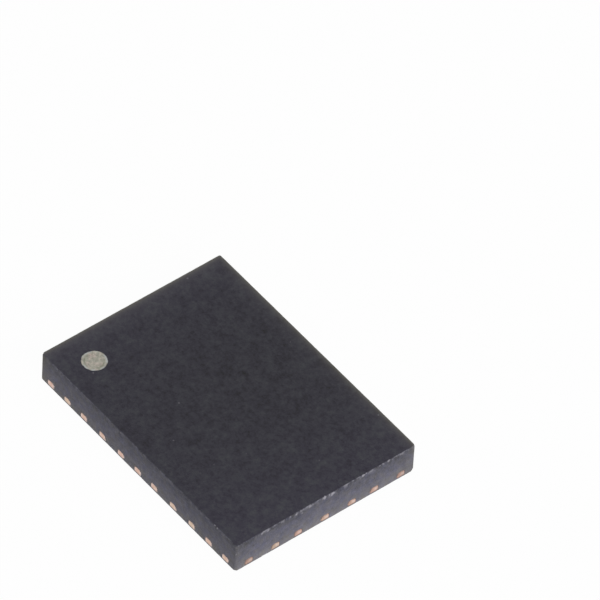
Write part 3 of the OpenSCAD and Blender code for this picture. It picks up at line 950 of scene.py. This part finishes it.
def copper_skin(end, settings, sink, seed):
    """The copper dragged over one bar's end, and how thin, burnished and dull each point is.

    A slab on the end's outline is drawn level and stood up against the side. Its coordinates
    u and v are the places along and up the side over the half sizes. With r^5 the sum of
    their fifth powers, the face stands out by the skin's height times 1 - r^6 and falls
    behind the moulding by 1.5 r^6 times its set-back. The saw drags the face by about the
    smear times the cube of its place along the drag, and by 0.6 times that upwards. The face
    is thin where the sum of the powers 2.8 of u and 0.9 v comes near 1 and where it trails,
    and it is browner at its foot. It has a painted highlight round its rim at the long sides,
    and in an oval that leads the drag at the short ones, which carry painted shade too,
    darkest next to the corners.
    """
    middle, along, facing, half_width, half_height = end
    at_long_side = bool(facing[1])
    smear, skin = settings.smear / MM, settings.skin / MM
    half = np.array([half_width, half_height]) + 0.5 * smear
    outline = rounded_outline(rectangle(*(2 * half)), [0.045] * 4)
    profile = edge_profile(
        bottom=-0.02, top=0.0, bottom_radius=0.0005, top_radius=0.0005, step=0.02, arc_steps=2,
    )
    places = [stations(2 * size, fine=0.01, coarse=0.018, ends=0.04) for size in half]
    points, _, faces = slab(outline, profile, *places)

    # The third coordinate gives each end a noise of its own
    place = np.hstack([points[:, :2] / half, np.full((len(points), 1), 3.7 * seed)])
    u, v = place[:, 0], place[:, 1]
    rank = (np.abs(u) ** 5 + np.abs(v) ** 5) ** 0.2
    in_front = points[:, 2] > -0.01
    points[:, 2] += np.where(in_front, skin * (1 - rank ** 6) - 1.5 * sink * rank ** 6, 0)
    points[:, :2] *= 1 + 0.05 * lattice_noise(place, 0.7, 41)[:, None]
    drag = u * (1 if at_long_side else -1)
    trailing = np.clip(drag, 0, 1)
    points[:, 0] *= 1 + smear / half[0] * trailing ** 3 * (1 + lattice_noise(place, 0.5, 42))
    points[:, 1] += 0.6 * smear * np.clip(v, 0, 1) ** 3

    # Browner at the foot of each end
    foot = np.clip((-0.5 - v) / 0.3, 0, 1)
    worn = (np.abs(u) ** 2.8 + np.abs(0.9 * v) ** 2.8) ** (1 / 2.8)
    worn += 0.1 * lattice_noise(place, 0.6, 43)
    thin = np.maximum(np.clip((worn - 0.9) / 0.2, 0, 1), foot)
    # Painted highlight round the rim at the long sides and in an oval at the short ones
    if at_long_side:
        trail, painted_shade = 0.1, 0.0
        painted_highlight = np.hypot(1.1 * u, 0.5 * v) ** 3
    else:
        # Painted shade: the short sides' copper is darkened, most next to the corners
        trail, painted_shade = 0.6, 0.1 + 0.45 * (middle[1] / 2.2) ** 4
        painted_highlight = 1 - np.hypot((drag + 0.35) / 0.55, (v - 0.15) / 0.6)
    thin += trail * trailing * np.clip(v + 0.6, 0, 1)
    layers = {"thin": thin, "painted_highlight": painted_highlight, "painted_shade": np.full(len(points), painted_shade)}
    stood_up = np.stack([along, [0, 0, 1], facing])
    return (points @ stood_up + middle, faces), layers


class OSCILLATOR_OT_moulding(bpy.types.Operator):
    """Build the moulded block with its sawn sides and chipped edges"""

    bl_idname = "oscillator.moulding"
    bl_label = "Moulded Block"

    def execute(self, context):
        settings = context.scene.oscillator_block
        skin, layers = moulding_skin(settings)
        material = moulding_finish(settings)
        add_piece("moulded_block", skin, material, ["mould_body"], layers)
        dress(["mould_body"], material)
        return {"FINISHED"}


class OSCILLATOR_OT_mark(bpy.types.Operator):
    """Build the round mark over terminal 1"""

    bl_idname = "oscillator.mark"
    bl_label = "Round Mark"

    def execute(self, context):
        sink = context.scene.oscillator_block.sink / MM
        skin, layers = mark_skin(box_mm("pin_1_mark"), sink)
        material = mark_finish(context.scene.oscillator_mark)
        add_piece("round_mark", skin, material, ["pin_1_mark"], layers)
        dress(["pin_1_mark"], material)
        return {"FINISHED"}


class OSCILLATOR_OT_lands(bpy.types.Operator):
    """Build the tin on the six lands and the middle pad"""

    bl_idname = "oscillator.lands"
    bl_label = "Tinned Lands"

    def execute(self, context):
        boxes = islands(node_triangles("tin_plating"))
        if len(boxes) != TIN_PLATES:
            raise RuntimeError(f"the tin has {len(boxes)} plates instead of {TIN_PLATES}")
        land_1 = min(range(TIN_PLATES), key=lambda i: boxes[i][0][0] + boxes[i][0][1])
        skins = []
        for i, (low, high) in enumerate(boxes):
            is_pad = low[0] < 0 < high[0] and low[1] < 0 < high[1]
            skins.append(land_skin(
                (low, high), chamfer=LAND_1_CHAMFER if i == land_1 else 0.0,
                radius=PAD_RADIUS if is_pad else LAND_RADIUS,
            ))
        material = tin_finish(context.scene.oscillator_metal)
        add_piece("tinned_lands", join_skins(skins), material, ["tin_plating"])
        dress(["tin_plating"], material)
        return {"FINISHED"}


class OSCILLATOR_OT_copper(bpy.types.Operator):
    """Finish the lead frame and build the copper dragged over its sawn ends"""

    bl_idname = "oscillator.copper"
    bl_label = "Lead Frame"

    def execute(self, context):
        settings = context.scene.oscillator_metal
        sink = context.scene.oscillator_block.sink / MM
        made = [
            copper_skin(end, settings, sink, seed)
            for seed, end in enumerate(sawn_ends(COPPER_NODES))
        ]
        skin = join_skins([skin for skin, _ in made])
        layers = {
            key: np.concatenate([layers[key] for _, layers in made])
            for key in ("thin", "painted_highlight", "painted_shade")
        }
        add_piece("sawn_copper", skin, sawn_copper_finish(settings), layers=layers)
        dress(COPPER_NODES, etched_copper_finish(settings))
        return {"FINISHED"}


class OSCILLATOR_OT_inside(bpy.types.Operator):
    """Finish the die, the quartz unit, the adhesives and the bond wires"""

    bl_idname = "oscillator.inside"
    bl_label = "Inner Pieces"

    def execute(self, context):
        dress(["oscillator_die"], plain_finish("silicon", (86, 90, 104), 0.25, grain=40.0))
        dress(ADHESIVE_NODES, plain_finish("silvery adhesive", (186, 184, 178), 0.6))
        dress(ALLOY_NODES, plain_finish("lid alloy", (190, 184, 172), 0.32, metallic=1.0))
        dress(["crystal_base"], plain_finish("ceramic", (226, 220, 208), 0.55))
        dress(GOLD_NODES, plain_finish("gold", (255, 214, 130), 0.28, metallic=1.0))
        dress(["quartz_blank"], plain_finish(
            "quartz", (232, 240, 244), 0.06, IOR=1.54, Transmission_Weight=0.9,
        ))
        return {"FINISHED"}


class OSCILLATOR_OT_stage(bpy.types.Operator):
    """Set the pale floor, the soft light and the camera"""

    bl_idname = "oscillator.stage"
    bl_label = "Stage"

    def execute(self, context):
        settings = context.scene.oscillator_stage
        context.scene.view_settings.view_transform = "Standard"
        add_floor(settings)
        light_world(context.scene, settings)
        overhead, key = settings.overhead_level, settings.key_level
        add_lamp("overhead", place=(-0.05, 0.05, 0.4), size=0.35, level=overhead)
        add_lamp("key", place=(0.28, -0.03, 0.2), size=0.2, level=key)
        add_camera(context.scene, settings)
        return {"FINISHED"}


def add_floor(settings):
    """A wide pale sheet just under the lands, which the camera sees nearly white."""
    reach, drop = 0.5, 2e-6
    line = np.linspace(-reach, reach, 21)
    x, y = np.meshgrid(line, line, indexing="ij")
    points = np.stack([x, y, np.full_like(x, -drop)], axis=-1)
    grid = np.arange(x.size).reshape(x.shape)
    mesh = bpy.data.meshes.new("pale_floor")
    mesh.from_pydata(points.reshape(-1, 3), [], quads(grid))
    material = bpy.data.materials.new("pale floor")
    material.use_nodes = True
    finish = Finish(material.node_tree)
    paper = finish.add("ShaderNodeBsdfDiffuse", {}, {"Color": (0.8, 0.8, 0.8)})
    white = finish.add("ShaderNodeEmission", {}, {"Strength": 1.0})
    share = seen_plainly(finish) * settings.backdrop_share
    seen = finish.add("ShaderNodeMixShader", {}, {0: share, 1: paper, 2: white})
    finish.add("ShaderNodeOutputMaterial", {}, {"Surface": seen})
    mesh.materials.append(material)
    floor = bpy.data.objects.new("pale_floor", mesh)
    bpy.context.scene.collection.objects.link(floor)


def seen_plainly(finish):
    """1 for rays from the camera and those that metal or glass send on, 0 for the rest."""
    rays = ("Is Camera Ray", "Is Glossy Ray", "Is Transmission Ray")
    camera, glossy, through = (finish.add("ShaderNodeLightPath", output=ray) for ray in rays)
    return (camera + glossy + through).clamped()


def light_world(scene, settings):
    """Even light from all round; the camera, metal and glass see it white."""
    world = bpy.data.worlds.new("soft room")
    world.use_nodes = True
    scene.world = world
    finish = Finish(world.node_tree)
    room = finish.add("ShaderNodeBackground", {}, {"Strength": settings.world_level})
    white = finish.add("ShaderNodeBackground", {}, {"Strength": 1.0})
    seen = finish.add("ShaderNodeMixShader", {}, {0: seen_plainly(finish), 1: room, 2: white})
    finish.add("ShaderNodeOutputWorld", {}, {"Surface": seen})


def add_lamp(name, place, size, level):
    """A square lamp that faces the object.

    A one-sided lamp of power P lights a surface at distance d by P / (pi d^2), and a white
    surface shows as 1 under pi, so the power is the level times pi squared times d squared.
    """
    lamp = bpy.data.lights.new(name, "AREA")
    lamp.size = size
    lamp.energy = level * (math.pi * Vector(place).length) ** 2
    item = bpy.data.objects.new(name, lamp)
    item.matrix_world = aimed(Vector(place), Vector((0, 0, 0)), 0.0)
    bpy.context.scene.collection.objects.link(item)


def aimed(place, target, roll):
    """Matrix of a camera or lamp that looks from place to target, turned about its own axis."""
    look = (target - place).to_track_quat("-Z", "Y").to_matrix().to_4x4()
    return Matrix.Translation(place) @ look @ Matrix.Rotation(roll, 4, "Z")


def add_camera(scene, settings):
    """The camera at the photograph's viewing angle."""
    camera = bpy.data.cameras.new("camera")
    camera.sensor_width = 36
    camera.lens = settings.lens
    camera.clip_start, camera.clip_end = 0.005, 5
    item = bpy.data.objects.new("camera", camera)
    item.matrix_world = aimed(Vector(settings.place), Vector(settings.aim), settings.roll)
    scene.collection.objects.link(item)
    scene.camera = item


class OSCILLATOR_PT_sidebar(bpy.types.Panel):
    """Pieces of the oscillator and the sizes and colours that they read"""

    bl_label = "Oscillator"
    bl_space_type = "VIEW_3D"
    bl_region_type = "UI"
    bl_category = "Oscillator"

    def draw(self, context):
        for group in GROUPS:
            box = self.layout.box()
            settings = getattr(context.scene, group)
            for name in settings.bl_rna.properties.keys():
                if name not in ("rna_type", "name"):
                    box.prop(settings, name)
        for operator in OPERATORS:
            self.layout.operator(operator.bl_idname)


GROUPS = {
    "oscillator_block": BlockSettings,
    "oscillator_mark": MarkSettings,
    "oscillator_metal": MetalSettings,
    "oscillator_stage": StageSettings,
}
OPERATORS = (
    OSCILLATOR_OT_moulding,
    OSCILLATOR_OT_mark,
    OSCILLATOR_OT_lands,
    OSCILLATOR_OT_copper,
    OSCILLATOR_OT_inside,
    OSCILLATOR_OT_stage,
)


def register():
    for item in (*GROUPS.values(), *OPERATORS, OSCILLATOR_PT_sidebar):
        bpy.utils.register_class(item)
    for name, group in GROUPS.items():
        setattr(bpy.types.Scene, name, PointerProperty(type=group))


def unregister():
    for name in GROUPS:
        delattr(bpy.types.Scene, name)
    for item in (OSCILLATOR_PT_sidebar, *reversed(OPERATORS), *reversed(GROUPS.values())):
        bpy.utils.unregister_class(item)


def main():
    """Registers the classes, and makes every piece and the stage."""
    register()
    bpy.ops.oscillator.moulding()
    bpy.ops.oscillator.mark()
    bpy.ops.oscillator.lands()
    bpy.ops.oscillator.copper()
    bpy.ops.oscillator.inside()
    bpy.ops.oscillator.stage()


if __name__ == "__main__":
    main()
